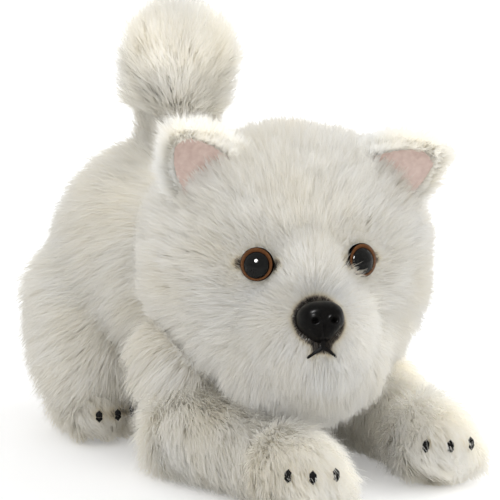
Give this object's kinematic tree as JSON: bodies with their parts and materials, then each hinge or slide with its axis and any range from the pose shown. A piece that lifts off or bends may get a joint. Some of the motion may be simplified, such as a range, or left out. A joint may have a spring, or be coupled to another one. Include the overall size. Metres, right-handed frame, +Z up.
{
  "type": "plush dog",
  "caption": "Soft white stuffed toy dog in a play bow, with long pile, pink-lined ears, safety eyes and a raised fluffy tail.",
  "frame": {"origin": "centre of the bounding box at floor level, under the chest", "axes": "+Z up, -Y the way the body faces, +X to the dog's left"},
  "size_m": [0.134, 0.2297, 0.1815],
  "materials": {
    "body_fur": "long straight warm-white plush pile",
    "face_fur": "white plush pile, trimmed short on the muzzle and long at the beard",
    "paw_fur": "dense short white plush pile",
    "ear_lining": "smooth brushed dusty-pink cloth",
    "stuffing": "loose white polyester fibre",
    "black_thread": "matt black embroidery thread",
    "white_thread": "white sewing thread",
    "eye_clear": "clear polished dome",
    "eye_brown": "glossy brown paint",
    "eye_black": "glossy black",
    "nose_black": "semi-gloss black, finely pebbled",
    "washer_plastic": "plain moulded"
  },
  "bodies": {
    "torso": {"torso_stuffing": "stuffing", "left_side_panel": "body_fur", "right_side_panel": "body_fur", "belly_panel": "body_fur", "closing_stitches": "white_thread", "left_hind_foot_stuffing": "stuffing", "left_hind_foot_top": "paw_fur", "left_hind_foot_under": "paw_fur", "left_hind_foot_claws": "black_thread", "right_hind_foot_stuffing": "stuffing", "right_hind_foot_top": "paw_fur", "right_hind_foot_under": "paw_fur", "right_hind_foot_claws": "black_thread"},
    "neck": {"neck_stuffing": "stuffing", "neck_collar": "body_fur"},
    "head": {"head_stuffing": "stuffing", "crown_panel": "body_fur", "face_panel": "face_fur", "chin_panel": "face_fur", "left_cheek_panel": "body_fur", "right_cheek_panel": "body_fur", "nose": "nose_black", "nose_washer": "washer_plastic", "mouth_stitching": "black_thread", "left_eye_backing": "eye_black", "left_eye_iris": "eye_brown", "left_eye_pupil": "eye_black", "left_eye_dome": "eye_clear", "left_eye_washer": "washer_plastic", "right_eye_backing": "eye_black", "right_eye_iris": "eye_brown", "right_eye_pupil": "eye_black", "right_eye_dome": "eye_clear", "right_eye_washer": "washer_plastic"},
    "left_ear": {"left_ear_fur": "body_fur", "left_ear_lining": "ear_lining"},
    "right_ear": {"right_ear_fur": "body_fur", "right_ear_lining": "ear_lining"},
    "left_foreleg": {"left_foreleg_stuffing": "stuffing", "left_foreleg_top": "paw_fur", "left_foreleg_under": "paw_fur", "left_foreleg_claws": "black_thread"},
    "right_foreleg": {"right_foreleg_stuffing": "stuffing", "right_foreleg_top": "paw_fur", "right_foreleg_under": "paw_fur", "right_foreleg_claws": "black_thread"},
    "tail": {"tail_stuffing": "stuffing", "tail_left_panel": "body_fur", "tail_right_panel": "body_fur"}
  },
  "joints": [
    {"name": "neck_turn", "type": "hinge", "parent": "torso", "child": "neck", "pos_m": [0, -0.03225, 0.08294], "axis": [0, 0, 1], "range_deg": [-12, 12], "stiffness_Nm_per_rad": 0.4},
    {"name": "neck_nod", "type": "hinge", "parent": "neck", "child": "head", "pos_m": [0, -0.03225, 0.08294], "axis": [0.9239, -0.3827, 0], "range_deg": [-10, 6], "stiffness_Nm_per_rad": 0.4},
    {"name": "left_ear_bend", "type": "hinge", "parent": "head", "child": "left_ear", "pos_m": [0.03293, -0.05642, 0.12125], "axis": [0.6418, -0.2658, -0.7193], "range_deg": [-15, 25], "stiffness_Nm_per_rad": 0.02},
    {"name": "right_ear_bend", "type": "hinge", "parent": "head", "child": "right_ear", "pos_m": [-0.03647, -0.02767, 0.12519], "axis": [0.7077, -0.2932, 0.6428], "range_deg": [-15, 25], "stiffness_Nm_per_rad": 0.02},
    {"name": "left_foreleg_spread", "type": "hinge", "parent": "torso", "child": "left_foreleg", "pos_m": [0.044, -0.02925, 0.018], "axis": [0, 0, 1], "range_deg": [-4, 18], "stiffness_Nm_per_rad": 0.2},
    {"name": "right_foreleg_spread", "type": "hinge", "parent": "torso", "child": "right_foreleg", "pos_m": [-0.044, -0.02925, 0.018], "axis": [0, 0, -1], "range_deg": [-4, 18], "stiffness_Nm_per_rad": 0.2},
    {"name": "tail_sway", "type": "hinge", "parent": "torso", "child": "tail", "pos_m": [0, 0.05475, 0.118], "axis": [0, 1, 0], "range_deg": [-15, 15], "stiffness_Nm_per_rad": 0.1}
  ]
}
